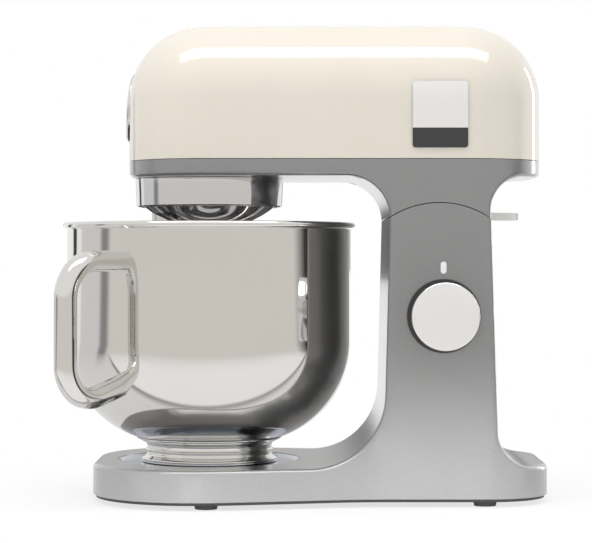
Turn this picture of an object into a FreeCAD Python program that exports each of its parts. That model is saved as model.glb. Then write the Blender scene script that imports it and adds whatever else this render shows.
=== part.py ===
"""Tilt-head stand mixer: stand, tilting head with planetary drive, and locking bowl.

Millimetres, +Z up. The bowl axis stands on the origin, the column is towards +X,
and the speed knob is on the -Y side.
"""

import FreeCAD, Part
import math
import os
import re
import Sketcher

from FreeCAD import Placement, Rotation, Vector

# Driving dimensions, one spreadsheet row each.
SIZES = [
    ("base_reach_front", 84.5, "bowl axis to front end of base"),
    ("base_reach_rear", 249.1, "bowl axis to rear end of base"),
    ("base_bottom", 5.7, "underside of casting above table"),
    ("base_top", 28.0, "upper face of base"),
    ("base_front_half", 105.0, "half width of base at front corners"),
    ("base_waist_half", 101.0, "half width of base beside the bowl"),
    ("base_waist_x", 10.0, "where the base starts to narrow"),
    ("base_narrow_x", 112.0, "where the base has narrowed to the column"),
    ("base_front_round", 75.0, "plan radius of front corners"),
    ("base_rear_round", 45.0, "plan radius of rear corners"),
    ("base_side_round", 150.0, "plan radius of the soft bends in the sides"),
    ("base_least_side", 0.5, "least straight run between front corner and waist"),
    ("body_half", 78.0, "half width of column, neck and head"),
    ("casting_wall", 4.0, "wall of stand casting"),
    ("base_roof", 8.0, "thickness of base top"),
    ("edge_round", 3.5, "rounded edges of castings"),
    ("column_front", 127.5, "column front at base top"),
    ("column_rear", 210.3, "column rear at base top"),
    ("column_lean_front", 5.0, "front face leans back over the column height"),
    ("column_lean_rear", 6.1, "rear face leans in over the column height"),
    ("column_height", 194.5, "base top to the point where the leans are measured"),
    ("arch_round", 53.0, "radius from column front into base top"),
    ("flare_round", 27.0, "radius from column rear into base top"),
    ("hinge_x", 167.4, "tilt axis from bowl axis"),
    ("hinge_z", 153.0, "tilt axis height"),
    ("split_round", 64.5, "radius of column top about tilt axis"),
    ("split_gap", 0.6, "gap between column top and neck"),
    ("ear_inner", 38.0, "inner face of hinge ears from mid-plane"),
    ("ear_thick", 10.0, "thickness of hinge ears"),
    ("ear_bottom", 118.0, "lower end of hinge ears"),
    ("column_ceiling", 200.0, "top of hollow in column"),
    ("pin_radius", 6.0, "hinge pin"),
    ("pin_clear", 0.05, "running clearance of pins and shafts"),
    ("bush_wall", 2.0, "wall of hinge bushes"),
    ("arm_middle", 30.0, "hinge arm centre from mid-plane"),
    ("arm_thick", 13.0, "hinge arm thickness"),
    ("arm_width", 15.0, "hinge arm width"),
    ("arm_lean", 20.5, "hinge arm lean towards the front, degrees"),
    ("arm_hub", 13.0, "radius of hinge arm eye"),
    ("arm_clear", 0.8, "gap beside hinge arms"),
    ("plate_thick", 2.2, "base plate"),
    ("plate_inset", 2.0, "base plate edge inside casting edge"),
    ("foot_radius", 8.5, "rubber foot"),
    ("foot_stem", 3.0, "stem of rubber foot in base plate"),
    ("foot_front_x", 1.0, "front feet"),
    ("foot_front_y", 86.0, "front feet from mid-plane"),
    ("foot_rear_x", 201.0, "rear feet"),
    ("foot_rear_y", 65.0, "rear feet from mid-plane"),
    ("seat_radius", 68.4, "bowl seat disc"),
    ("seat_floor", 26.4, "face that the bowl stands on"),
    ("seat_thick", 2.0, "bowl seat disc thickness"),
    ("seat_clear", 0.2, "gap round bowl seat disc"),
    ("boss_radius", 28.0, "locking boss of bowl seat"),
    ("boss_top", 36.0, "top of locking boss"),
    ("lug_reach", 38.0, "outer radius of locking lugs"),
    ("lug_bottom", 32.0, "underside of locking lugs"),
    ("bowl_radius", 105.6, "bowl wall outside"),
    ("bowl_wall", 1.2, "bowl sheet"),
    ("bowl_bottom", 41.0, "bowl underside"),
    ("bowl_corner", 75.0, "radius from bowl wall to bottom"),
    ("rim_height", 202.1, "centre of rim bead"),
    ("rim_bead", 2.4, "radius of rim bead"),
    ("bowl_foot_radius", 48.5, "bowl foot ring outside"),
    ("bowl_foot_flare", 2.5, "flare of bowl foot at its ends"),
    ("bowl_foot_wall", 3.0, "bowl foot ring wall"),
    ("bowl_gap", 0.3, "bowl foot above seat, and like small gaps"),
    ("handle_turn", 51.0, "handle from front towards the knob side, degrees"),
    ("handle_reach", 45.9, "grip centre from bowl wall"),
    ("handle_high", 176.0, "upper arm centre"),
    ("handle_low", 72.0, "lower corner of handle line"),
    ("handle_join", 86.0, "lower arm centre at bowl wall"),
    ("handle_upper_bend", 27.0, "bend under upper arm"),
    ("handle_lower_bend", 24.0, "bend at lower arm"),
    ("handle_wide", 16.0, "handle section across"),
    ("handle_deep", 15.0, "handle section in its plane"),
    ("handle_soft", 6.5, "rounded corners of handle section"),
    ("head_reach_front", 58.2, "bowl axis to front end of head"),
    ("head_reach_rear", 244.5, "bowl axis to rear end of head"),
    ("head_corner", 60.0, "plan radius of head corners"),
    ("band_bottom", 237.3, "underside of head"),
    ("seam_height", 249.1, "seam between chassis and cover"),
    ("seam_gap", 0.4, "shadow gap at the seam"),
    ("head_top", 349.0, "top of head"),
    ("cover_round", 55.0, "rounded top edges of cover"),
    ("cover_wall", 3.0, "cover wall"),
    ("chassis_wall", 4.0, "chassis side walls"),
    ("chassis_floor", 3.0, "chassis floor"),
    ("neck_front_round", 31.0, "radius from neck front to underside of head"),
    ("neck_rear_round", 25.0, "radius from neck rear to underside of head"),
    ("neck_floor", 226.0, "floor of hollow in neck"),
    ("yoke_thick", 5.0, "cross plate of hinge arms"),
    ("collar_radius", 55.2, "chrome collar at its top"),
    ("collar_draft", 1.0, "collar narrows towards its bottom"),
    ("collar_bottom", 216.0, "lower edge of collar"),
    ("collar_inner", 51.2, "inside of collar"),
    ("hub_radius", 48.5, "planet hub"),
    ("hub_dome", 79.5, "radius of planet hub dome"),
    ("hub_bottom", 199.6, "lowest point of dome"),
    ("hub_top", 222.0, "upper edge of planet hub"),
    ("hub_rim", 4.0, "rim of planet hub"),
    ("hub_web", 216.0, "upper face of web inside planet hub"),
    ("drive_module", 1.5, "tooth size of planet and output gears"),
    ("ring_teeth", 62, "teeth of fixed ring"),
    ("planet_teeth", 18, "teeth of planet pinion"),
    ("output_teeth", 60, "teeth of output gear"),
    ("idler_small_teeth", 15, "teeth of idler pinion"),
    ("fast_module", 1.0, "tooth size of first stage"),
    ("idler_large_teeth", 60, "teeth of idler gear"),
    ("motor_teeth", 15, "teeth of motor pinion"),
    ("tooth_play", 0.2, "backlash"),
    ("ring_wall", 2.3, "ring gear outside its tooth roots"),
    ("ring_thick", 12.0, "ring gear height"),
    ("planet_thick", 9.0, "planet pinion height"),
    ("output_low", 246.0, "underside of output gear"),
    ("output_thick", 8.0, "output gear height"),
    ("fast_low", 257.0, "underside of idler gear"),
    ("fast_thick", 6.0, "idler gear height"),
    ("socket_radius", 10.0, "tool socket sleeve"),
    ("socket_bore", 6.0, "tool socket bore"),
    ("socket_depth", 22.0, "tool socket bore depth"),
    ("socket_bottom", 186.0, "lower end of tool socket"),
    ("socket_top", 213.0, "upper end of tool socket sleeve"),
    ("spindle_radius", 5.0, "spindle shaft"),
    ("hub_shaft_radius", 6.0, "hub shaft"),
    ("idler_radius", 4.0, "idler shaft ends"),
    ("idler_hex", 4.6, "idler shaft hexagon, corner radius"),
    ("bearing_wall", 6.0, "hub bearing ring"),
    ("boss_wall", 4.0, "walls round bearings"),
    ("gear_plate_low", 265.0, "underside of gear plate"),
    ("gear_plate_thick", 3.0, "gear plate"),
    ("pillar_radius", 5.0, "gear plate pillars"),
    ("motor_radius", 37.0, "motor core outside"),
    ("motor_bore", 23.0, "motor core bore"),
    ("armature_gap", 0.5, "air gap of motor"),
    ("core_low", 284.0, "underside of motor core"),
    ("core_high", 318.0, "upper face of motor core"),
    ("motor_top", 335.0, "top of upper motor bracket"),
    ("bracket_wall", 2.5, "motor bracket wall"),
    ("motor_shaft_radius", 4.0, "motor shaft"),
    ("commutator_radius", 10.0, "commutator"),
    ("knob_x", 170.5, "speed knob from bowl axis"),
    ("knob_z", 136.7, "speed knob height"),
    ("knob_radius", 24.3, "speed knob"),
    ("knob_face", 100.0, "knob face from mid-plane"),
    ("knob_ring_radius", 26.4, "dark ring behind knob"),
    ("knob_ring_thick", 1.2, "dark ring behind knob"),
    ("knob_shaft", 3.0, "shaft of speed knob"),
    ("lens_x", 170.2, "indicator lens"),
    ("lens_z", 171.3, "indicator lens height"),
    ("lens_wide", 4.2, "indicator lens"),
    ("lens_tall", 8.6, "indicator lens"),
    ("board_front", 61.0, "control board face from mid-plane"),
    ("board_thick", 1.6, "control board"),
    ("control_radius", 8.0, "speed control body"),
    ("lever_pivot_x", 184.0, "release lever pivot"),
    ("lever_pivot_z", 224.0, "release lever pivot height"),
    ("lever_half", 12.0, "half width of release lever"),
    ("lever_tip", 232.4, "release lever tip"),
    ("lever_height", 208.9, "release lever paddle middle"),
    ("lever_thick", 6.4, "release lever paddle"),
    ("lever_eye", 5.0, "release lever eye"),
    ("lever_pin_radius", 2.5, "release lever pin"),
    ("outlet_height", 290.0, "outlet axis on front end"),
    ("outlet_lean", 4.5, "outlet leans back, degrees"),
    ("outlet_radius", 23.5, "outlet ring"),
    ("outlet_inner", 19.5, "outlet cover opening"),
    ("outlet_proud", 1.4, "outlet ring in front of cover"),
    ("outlet_seat", 1.4, "outlet ring let into cover"),
    ("outlet_depth", 9.0, "outlet socket behind cover"),
    ("gland_height", 13.4, "cord gland in rear of base"),
    ("gland_radius", 6.0, "cord gland"),
    ("gland_bore", 3.6, "cord gland bore"),
    ("screw_radius", 2.0, "screws"),
    ("screw_head", 3.6, "screw heads"),
]
NAMES = {row[0] for row in SIZES}

doc = FreeCAD.newDocument("stand_mixer")
sheet = doc.addObject("Spreadsheet::Sheet", "Sizes")
for number, (alias, value, note) in enumerate(SIZES, 1):
    sheet.set(f"A{number}", alias)
    sheet.set(f"B{number}", str(value))
    sheet.set(f"C{number}", note)
    sheet.setAlias(f"B{number}", alias)
doc.recompute()

# Sub-parts in the order in which they are made.
parts = []


def bound(formula):
    """Writes a formula of size names as an expression on the sheet."""
    return re.sub(r"[a-z_]+", lambda word: ("Sizes." if word[0] in NAMES else "") + word[0], formula)


def size(formula):
    """Value of a formula of size names."""
    return float(sheet.evalExpression(bound(formula)))


def place(target, x="0", y="0", z="0"):
    """Binds the position of an object."""
    for axis, formula in zip("xyz", (x, y, z)):
        target.setExpression("Placement.Base." + axis, bound(formula))


def keep(label, target):
    """Marks an object as a finished sub-part."""
    target.Label = label
    parts.append(target)
    return target


# Turns that bring an object's own Z axis to the named direction.
FACING = {
    "+Z": Rotation(),
    "-Y": Rotation(Vector(1, 0, 0), 90),
    "+Y": Rotation(Vector(1, 0, 0), -90),
    "+X": Rotation(Vector(0, 1, 0), 90),
}


def block(name, x, y, z):
    """Box between pairs of formulas."""
    box = doc.addObject("Part::Box", name)
    for edge, (low, high) in zip(("Length", "Width", "Height"), (x, y, z)):
        box.setExpression(edge, bound(f"({high}) - ({low})"))
    place(box, x[0], y[0], z[0])
    return box


def rod(name, radius, length, at, facing="+Z"):
    """Cylinder from a point along a direction."""
    cylinder = doc.addObject("Part::Cylinder", name)
    cylinder.Placement = Placement(Vector(), FACING[facing])
    cylinder.setExpression("Radius", bound(radius))
    cylinder.setExpression("Height", bound(length))
    place(cylinder, *at)
    return cylinder


def hexagon(name, radius, length, at):
    """Upright hexagonal bar."""
    prism = doc.addObject("Part::Prism", name)
    prism.Polygon = 6
    prism.setExpression("Circumradius", bound(radius))
    prism.setExpression("Height", bound(length))
    place(prism, *at)
    return prism


def fuse(name, *shapes):
    """Union of objects."""
    union = doc.addObject("Part::MultiFuse", name)
    union.Shapes = list(shapes)
    return union


def cut(name, base, *tools):
    """Object less its tools."""
    result = doc.addObject("Part::Cut", name)
    result.Base = base
    result.Tool = tools[0] if len(tools) == 1 else fuse(name + "_tools", *tools)
    return result


def common(name, base, tool):
    """What two objects share."""
    result = doc.addObject("Part::Common", name)
    result.Base = base
    result.Tool = tool
    return result


def group(name, *shapes):
    """Separate solids that share a node."""
    compound = doc.addObject("Part::Compound", name)
    compound.Links = list(shapes)
    return compound


def pin_point(sketch, geometry, end, x, y):
    """Holds a sketch point at two formulas."""
    for kind, axis, formula in (("DistanceX", -2, x), ("DistanceY", -1, y)):
        if formula == "0":
            sketch.addConstraint(Sketcher.Constraint("PointOnObject", geometry, end, axis))
            continue
        index = sketch.addConstraint(Sketcher.Constraint(kind, -1, 1, geometry, end, size(formula)))
        sketch.setExpression(f"Constraints[{index}]", bound(formula))


def new_sketch(body, name, plane, lift="0"):
    """Sketch on one of a body's own planes, lifted along its normal."""
    sketch = body.newObject("Sketcher::SketchObject", name)
    support = [feature for feature in body.Origin.OriginFeatures if feature.Role == plane][0]
    sketch.AttachmentSupport = [(support, "")]
    sketch.MapMode = "FlatFace"
    sketch.setExpression("AttachmentOffset.Base.z", bound(lift))
    return sketch


def outline(body, name, plane, corners, lift="0", closed=True):
    """Sketch of straight sides between corners (x, y) or rounded corners (x, y, radius)."""
    sketch = new_sketch(body, name, plane, lift)
    points = [Vector(size(corner[0]), size(corner[1]), 0) for corner in corners]
    count = len(corners)
    starts, ends, arcs = list(points), list(points), {}
    for i, corner in enumerate(corners):
        if len(corner) < 3:
            continue
        radius = size(corner[2])
        back = (points[i - 1] - points[i]).normalize()
        ahead = (points[(i + 1) % count] - points[i]).normalize()
        half = back.getAngle(ahead) / 2
        ends[i] = points[i] + back * (radius / math.tan(half))
        starts[i] = points[i] + ahead * (radius / math.tan(half))
        centre = points[i] + (back + ahead).normalize() * (radius / math.sin(half))
        left = back.cross(ahead).z < 0
        first, last = (ends[i], starts[i]) if left else (starts[i], ends[i])
        circle = Part.Circle(centre, Vector(0, 0, 1), radius)
        angles = [math.atan2(point.y - centre.y, point.x - centre.x) for point in (first, last)]
        arcs[i] = (sketch.addGeometry(Part.ArcOfCircle(circle, *angles)), left)
    sides = count if closed else count - 1
    lines = [
        sketch.addGeometry(Part.LineSegment(starts[i], ends[(i + 1) % count])) for i in range(sides)
    ]
    for i, corner in enumerate(corners):
        before, after = lines[i - 1], lines[i % sides]
        if i in arcs:
            arc, left = arcs[i]
            mark = sketch.addGeometry(Part.Point(points[i]), True)
            pin_point(sketch, mark, 1, corner[0], corner[1])
            sketch.addConstraint([
                Sketcher.Constraint("PointOnObject", mark, 1, before),
                Sketcher.Constraint("PointOnObject", mark, 1, after),
                Sketcher.Constraint("Tangent", before, 2, arc, 1 if left else 2),
                Sketcher.Constraint("Tangent", arc, 2 if left else 1, after, 1),
            ])
            index = sketch.addConstraint(Sketcher.Constraint("Radius", arc, size(corner[2])))
            sketch.setExpression(f"Constraints[{index}]", bound(corner[2]))
        elif closed or 0 < i < count - 1:
            sketch.addConstraint(Sketcher.Constraint("Coincident", before, 2, after, 1))
            pin_point(sketch, after, 1, corner[0], corner[1])
        elif i == 0:
            pin_point(sketch, after, 1, corner[0], corner[1])
        else:
            pin_point(sketch, before, 2, corner[0], corner[1])
    return sketch


def padded(name, plane, corners, low, high):
    """Body that fills an outline from one height to another along the plane's normal."""
    body = doc.addObject("PartDesign::Body", name)
    sketch = outline(body, name + "_outline", plane, corners, low)
    pad = body.newObject("PartDesign::Pad", name + "_pad")
    pad.Profile = sketch
    pad.setExpression("Length", bound(f"({high}) - ({low})"))
    sketch.Visibility = False
    return body


def turned(name, corners, at=("0", "0", "0"), facing=FACING["+Z"]):
    """Body turned from an outline of (radius, height) about its own Z axis."""
    body = doc.addObject("PartDesign::Body", name)
    sketch = outline(body, name + "_outline", "XZ_Plane", corners)
    revolution = body.newObject("PartDesign::Revolution", name + "_turn")
    revolution.Profile = sketch
    revolution.ReferenceAxis = (sketch, ["V_Axis"])
    revolution.Angle = 360
    body.Placement = Placement(Vector(), facing)
    place(body, *at)
    return body


def ring(name, outer, inner, low, high, x="0", y="0"):
    """Upright ring."""
    corners = [(inner, low), (outer, low), (outer, high), (inner, high)]
    return turned(name, corners, (x, y, "0"))


def rounded(name, base, radius, wanted):
    """Rounds the edges of an object that a test picks."""
    doc.recompute()
    fillet = doc.addObject("Part::Fillet", name)
    fillet.Base = base
    picked = [i for i, edge in enumerate(base.Shape.Edges, 1) if wanted(edge)]
    fillet.Edges = [(i, size(radius), size(radius)) for i in picked]
    return fillet


def is_wall_edge(edge, plain_heights):
    """Edge round a cast side wall, apart from seams and from edges at the given heights."""
    ends = [edge.valueAt(edge.FirstParameter), edge.valueAt(edge.LastParameter)]
    run = ends[1] - ends[0]
    straight = isinstance(edge.Curve, Part.Line)
    if straight and (abs(run.x) < 1e-4 and (abs(run.y) < 1e-4 or abs(run.z) < 1e-4)):
        return False
    box = edge.BoundBox
    return not any(abs(box.ZMin - z) < 0.01 and abs(box.ZMax - z) < 0.01 for z in plain_heights)


# Stand


# The soft bend at the waist ends before the arc of the front corner begins.
FRONT_SLOPE = "atan((base_front_half - base_waist_half) / (base_waist_x + base_reach_front))"
SIDE_SLOPE = "atan((base_waist_half - body_half) / (base_narrow_x - base_waist_x))"
FRONT_ARC = f"base_front_round / tan((90 deg - {FRONT_SLOPE}) / 2)"
WAIST_ROOM = f"(base_waist_x + base_reach_front) / cos({FRONT_SLOPE}) - {FRONT_ARC} - base_least_side"
WAIST_ROUND = f"min(base_side_round; ({WAIST_ROOM}) / tan(({SIDE_SLOPE} - {FRONT_SLOPE}) / 2))"


def stand_plan(inset):
    """Corners of the base's plan outline, drawn in by an inset."""
    half = [
        (f"{inset} - base_reach_front", f"base_front_half - {inset}", f"base_front_round - {inset}"),
        ("base_waist_x", f"base_waist_half - {inset}", f"{WAIST_ROUND} - {inset}"),
        ("base_narrow_x", f"body_half - {inset}", f"base_side_round + {inset}"),
        (f"base_reach_rear - {inset}", f"body_half - {inset}", f"base_rear_round - {inset}"),
    ]
    near = [(x, f"-({y})", radius) for x, y, radius in half]
    return near + half[::-1]


def column_face(side, height):
    """Distance of the column's leaning front or rear face from the bowl axis at a height."""
    sign = "+" if side == "front" else "-"
    return f"column_{side} {sign} column_lean_{side} * (({height}) - base_top) / column_height"


SCREW_PLACES = [("-40", "60"), ("60", "72"), ("222", "45")]


def make_stand_casting():
    """Base and column in one hollow casting, with two hinge ears and slots for the hinge arms."""
    top = "base_top + column_height"
    side = padded("stand_side", "XZ_Plane", [
        ("-base_reach_front - 1", "base_bottom"),
        ("-base_reach_front - 1", "base_top"),
        (column_face("front", "base_top"), "base_top", "arch_round"),
        (column_face("front", top), top),
        (column_face("rear", top), top),
        (column_face("rear", "base_top"), "base_top", "flare_round"),
        ("base_reach_rear + 1", "base_top"),
        ("base_reach_rear + 1", "base_bottom"),
    ], "-base_front_half", "base_front_half")
    plan = padded("stand_plan", "XY_Plane", stand_plan("0"), "base_bottom", top)
    form = common("stand_form", side, plan)
    heights = (size("base_bottom"), size(top))
    form = rounded("stand_rounded", form, "edge_round", lambda edge: is_wall_edge(edge, heights))

    front = f"{column_face('front', top)} + casting_wall"
    rear = f"{column_face('rear', top)} - casting_wall"
    inner = "body_half - casting_wall"
    ear_outer = "ear_inner + ear_thick"
    above = block("above_hinge", ("0", "base_reach_rear"), ("-base_front_half", "base_front_half"),
                  ("hinge_z", f"{top} + 1"))
    crown = rod("split_crown", "split_round", "2 * base_front_half",
                ("hinge_x", "base_front_half", "hinge_z"), "-Y")
    tools = [
        cut("above_split", above, crown),
        padded("base_hollow", "XY_Plane", stand_plan("casting_wall"), "base_bottom - 1",
               "base_top - base_roof"),
        block("column_low", (front, rear), (f"-({inner})", inner), ("base_bottom", "ear_bottom")),
        block("column_mid", (front, rear), ("-ear_inner", "ear_inner"), ("ear_bottom - 1", "column_ceiling")),
        rod("seat_recess", "seat_radius + seat_clear", "base_top", ("0", "0", "seat_floor - seat_thick")),
        rod("pin_bore", "pin_radius", f"2 * ({ear_outer})", ("hinge_x", ear_outer, "hinge_z"), "-Y"),
        rod("knob_hole", "knob_shaft + 1", "2 * casting_wall",
            ("knob_x", "1 - body_half + casting_wall", "knob_z"), "-Y"),
        lens_shape("lens_hole", "bowl_gap / 3", "body_half - casting_wall - 1", "body_half + 1"),
        rod("gland_hole", "gland_radius", "2 * casting_wall",
            ("base_reach_rear - casting_wall - 3", "0", "gland_height"), "+X"),
        block("latch_notch", ("lever_pivot_x + 12", "lever_pivot_x + 18"),
              ("-lever_half", "lever_half"), ("column_ceiling + 4", top)),
    ]
    for sign, name in (("", "left"), ("-", "right")):
        low, high = (ear_outer, inner) if sign == "" else (f"-({inner})", f"-({ear_outer})")
        tools.append(block(f"column_{name}", (front, rear), (low, high),
                           ("ear_bottom - 1", "column_ceiling")))
        tools.append(arm_slot(f"arm_slot_{name}", sign, (front, rear), "column_ceiling - 1", f"{top} + 1"))
    hollow = cut("stand_hollow", form, *tools)
    posts, holes = [], []
    for i, (x, y) in enumerate((x, sign + y) for x, y in SCREW_PLACES for sign in ("", "-")):
        posts.append(rod(f"base_post_{i}", "screw_radius + casting_wall",
                         "base_top - base_roof / 2 - base_bottom",
                         (x, y, "base_bottom")))
        holes.append(rod(f"base_post_hole_{i}", "screw_radius", "10", (x, y, "base_bottom")))
    return keep("stand_casting", cut("stand_casting", fuse("stand_posted", hollow, *posts), *holes))


def arm_slot(name, sign, x, low, high):
    """Slot for a hinge arm on one side of the mid-plane."""
    half = "arm_thick / 2 + arm_clear"
    middle = f"{sign}arm_middle"
    return block(name, x, (f"{middle} - ({half})", f"{middle} + {half}"), (low, high))


def lens_shape(name, grow, inner, outer):
    """Upright rounded slot through the column's knob side."""
    half = f"(lens_wide / 2 + {grow})"
    reach = f"(lens_tall / 2 + {grow})"
    corners = [
        (f"lens_x - {half}", f"lens_z - {reach}", f"{half} * 0.95"),
        (f"lens_x + {half}", f"lens_z - {reach}", f"{half} * 0.95"),
        (f"lens_x + {half}", f"lens_z + {reach}", f"{half} * 0.95"),
        (f"lens_x - {half}", f"lens_z + {reach}", f"{half} * 0.95"),
    ]
    return padded(name, "XZ_Plane", corners, inner, outer)


FOOT_PLACES = {
    "foot_front_left": ("foot_front_x", "foot_front_y"),
    "foot_front_right": ("foot_front_x", "-foot_front_y"),
    "foot_rear_left": ("foot_rear_x", "foot_rear_y"),
    "foot_rear_right": ("foot_rear_x", "-foot_rear_y"),
}


def make_base_plate():
    """Plate under the base, with holes for the feet and screws, and the feet and screws themselves."""
    low = "base_bottom - plate_thick"
    plate = padded("plate_blank", "XY_Plane", stand_plan("plate_inset"), low, "base_bottom")
    holes = [
        rod(f"{name}_hole", "foot_stem", "3 * plate_thick", (x, y, "base_bottom - 2 * plate_thick"))
        for name, (x, y) in FOOT_PLACES.items()
    ]
    screws = []
    for i, (x, y) in enumerate((x, sign + y) for x, y in SCREW_PLACES for sign in ("", "-")):
        holes.append(rod(f"plate_hole_{i}", "screw_radius", "3 * plate_thick", (x, y, f"{low} - 1")))
        head = rod(f"base_screw_head_{i}", "screw_head", "1.4", (x, y, f"{low} - 1.4"))
        shank = rod(f"base_screw_shank_{i}", "screw_radius", "9", (x, y, low))
        screws.append(fuse(f"base_screw_{i}", head, shank))
    keep("base_plate", cut("base_plate", plate, *holes))
    keep("base_screws", group("base_screws", *screws))
    for name, (x, y) in FOOT_PLACES.items():
        corners = [
            ("0", "0"), ("foot_radius - 0.6", "0"), ("foot_radius", low), ("foot_stem", low),
            ("foot_stem", "base_bottom"), ("foot_stem + 0.8", "base_bottom"),
            ("foot_stem", "base_bottom + 2"), ("0", "base_bottom + 2"),
        ]
        keep(name, turned(name, corners, (x, y, "0")))


LOCKS = 3


def sectors(name, outer, inner, low, high, degrees, start):
    """Equal ring sectors about the bowl axis."""
    wedges = []
    for i in range(LOCKS):
        wedge = rod(f"{name}_wedge_{i}", outer, f"({high}) - ({low})", ("0", "0", low))
        wedge.Angle = degrees
        wedge.Placement = Placement(wedge.Placement.Base, Rotation(Vector(0, 0, 1), start + 360 / LOCKS * i))
        place(wedge, "0", "0", low)
        wedges.append(wedge)
    core = rod(f"{name}_core", inner, f"({high}) - ({low}) + 2", ("0", "0", f"{low} - 1"))
    return cut(name, fuse(f"{name}_wedges", *wedges), core)


def make_bowl_seat():
    """Polished disc in the base top, with a locking boss and three lugs, held by three screws."""
    under = "seat_floor - seat_thick"
    disc = turned("seat_disc", [
        ("0", under), ("seat_radius", under), ("seat_radius", "base_top - bowl_gap"),
        ("seat_radius - 1.2", "base_top - bowl_gap"), ("seat_radius - 3", "seat_floor"),
        ("boss_radius", "seat_floor"), ("boss_radius", "boss_top"), ("boss_radius - 6", "boss_top"),
        ("boss_radius - 8", "seat_floor"), ("0", "seat_floor"),
    ])
    lugs = sectors("seat_lugs", "lug_reach", "boss_radius - 1", "lug_bottom", "boss_top", 34, 13)
    holes, screws = [], []
    for i in range(LOCKS):
        turn = math.radians(360 / LOCKS * i + 60)
        x, y = (f"{part:.6f} * (boss_radius - 14)" for part in (math.cos(turn), math.sin(turn)))
        holes.append(rod(f"seat_hole_{i}", "screw_radius", "10", (x, y, f"{under} - 1")))
        head = rod(f"seat_screw_head_{i}", "screw_head", "1.8", (x, y, "seat_floor"))
        shank = rod(f"seat_screw_shank_{i}", "screw_radius", "seat_thick", (x, y, under))
        screws.append(fuse(f"seat_screw_{i}", head, shank))
    keep("bowl_seat", cut("bowl_seat", fuse("seat_lugged", disc, lugs), *holes))
    keep("seat_screws", group("seat_screws", *screws))


def make_stand_fittings():
    """Hinge pin, knob ring, indicator lens, speed control, control board and cord gland."""
    ear_outer = "ear_inner + ear_thick"
    keep("hinge_pin",
         rod("hinge_pin", "pin_radius", f"2 * ({ear_outer})", ("hinge_x", ear_outer, "hinge_z"), "-Y"))
    keep("knob_ring", turned("knob_ring", [
        ("knob_shaft + 1", "0"), ("knob_ring_radius", "0"), ("knob_ring_radius", "knob_ring_thick"),
        ("knob_shaft + 1", "knob_ring_thick"),
    ], ("knob_x", "-body_half", "knob_z"), FACING["-Y"]))
    keep("indicator_lens", lens_shape("indicator_lens", "0", "board_front", "body_half + bowl_gap"))
    control = rod("control_body", "control_radius", "body_half - casting_wall - board_front",
                  ("knob_x", "-board_front", "knob_z"), "-Y")
    keep("speed_control", cut("speed_control", control, rod(
        "control_bore", "knob_shaft + pin_clear", "body_half", ("knob_x", "-board_front - 2", "knob_z"),
        "-Y")))
    keep("control_board", block("control_board", ("knob_x - 28", "knob_x + 26"),
                                ("-board_front", "board_thick - board_front"),
                                ("knob_z - 14", "lens_z + 12")))
    keep("cord_gland", turned("cord_gland", [
        ("gland_bore", "-casting_wall - 2"), ("gland_radius", "-casting_wall - 2"), ("gland_radius", "0"),
        ("gland_radius + 2", "0"), ("gland_radius + 1.2", "2"), ("gland_bore", "2"),
    ], ("base_reach_rear", "0", "gland_height"), FACING["+X"]))


# Bowl


def make_bowl():
    """Spun steel bowl with a rolled rim, its locking foot and its loop handle."""
    inside = "bowl_radius - bowl_wall"
    wall = turned("bowl_shell", [
        ("0", "bowl_bottom"), ("bowl_radius", "bowl_bottom", "bowl_corner"), ("bowl_radius", "rim_height"),
        (inside, "rim_height"), (inside, "bowl_bottom + bowl_wall", "bowl_corner - bowl_wall"),
        ("0", "bowl_bottom + bowl_wall"),
    ])
    bead = doc.addObject("Part::Torus", "rim_roll")
    bead.setExpression("Radius1", bound(f"{inside} + rim_bead - bowl_gap / 2"))
    bead.setExpression("Radius2", bound("rim_bead"))
    place(bead, "0", "0", "rim_height")
    keep("bowl", fuse("bowl", wall, bead))

    def filled(name):
        return turned(name, [
            ("0", "bowl_bottom"), ("bowl_radius", "bowl_bottom", "bowl_corner"),
            ("bowl_radius", "rim_height"), ("0", "rim_height"),
        ])

    low = "seat_floor + bowl_gap"
    inner = "bowl_foot_radius - bowl_foot_wall"
    wide = "bowl_foot_radius + bowl_foot_flare"
    blank = turned("foot_blank", [
        (inner, low), (wide, low), (wide, f"{low} + 3"), ("bowl_foot_radius", f"{low} + 5"),
        ("bowl_foot_radius", f"{low} + 8"), ("bowl_foot_radius + 1", f"{low} + 9"),
        ("bowl_foot_radius", f"{low} + 10"), ("bowl_foot_radius", "bowl_bottom"),
        (wide, "bowl_bottom + 5"), (inner, "bowl_bottom + 5"),
    ])
    tabs = sectors("foot_tabs", f"{inner} + 1", "boss_radius + 3", low, "lug_bottom - bowl_gap", 30, 15)
    keep("bowl_foot", cut("bowl_foot", fuse("foot_tabbed", blank, tabs), filled("bowl_room_foot")))

    loop = doc.addObject("PartDesign::Body", "handle_loop")
    start = "bowl_radius - 4"
    path = outline(loop, "handle_path", "XZ_Plane", [
        (start, "handle_high"), ("bowl_radius + handle_reach", "handle_high", "handle_upper_bend"),
        ("bowl_radius + handle_reach", "handle_low", "handle_lower_bend"),
        ("bowl_radius - 12", "handle_join + 1.6"),
    ], closed=False)
    wide, deep = "handle_wide / 2", "handle_deep / 2"
    section = outline(loop, "handle_section", "YZ_Plane", [
        (f"-{wide}", f"handle_high - {deep}", "handle_soft"), (wide, f"handle_high - {deep}", "handle_soft"),
        (wide, f"handle_high + {deep}", "handle_soft"), (f"-{wide}", f"handle_high + {deep}", "handle_soft"),
    ], start)
    doc.recompute()
    pipe = loop.newObject("PartDesign::AdditivePipe", "handle_pipe")
    pipe.Profile = section
    pipe.Spine = (path, [f"Edge{i + 1}" for i in range(len(path.Shape.Edges))])
    loop.Placement = Placement(Vector(), Rotation(Vector(0, 0, 1), 180 + size("handle_turn")))
    keep("bowl_handle", cut("bowl_handle", loop, filled("bowl_room_handle")))


# Head


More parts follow.
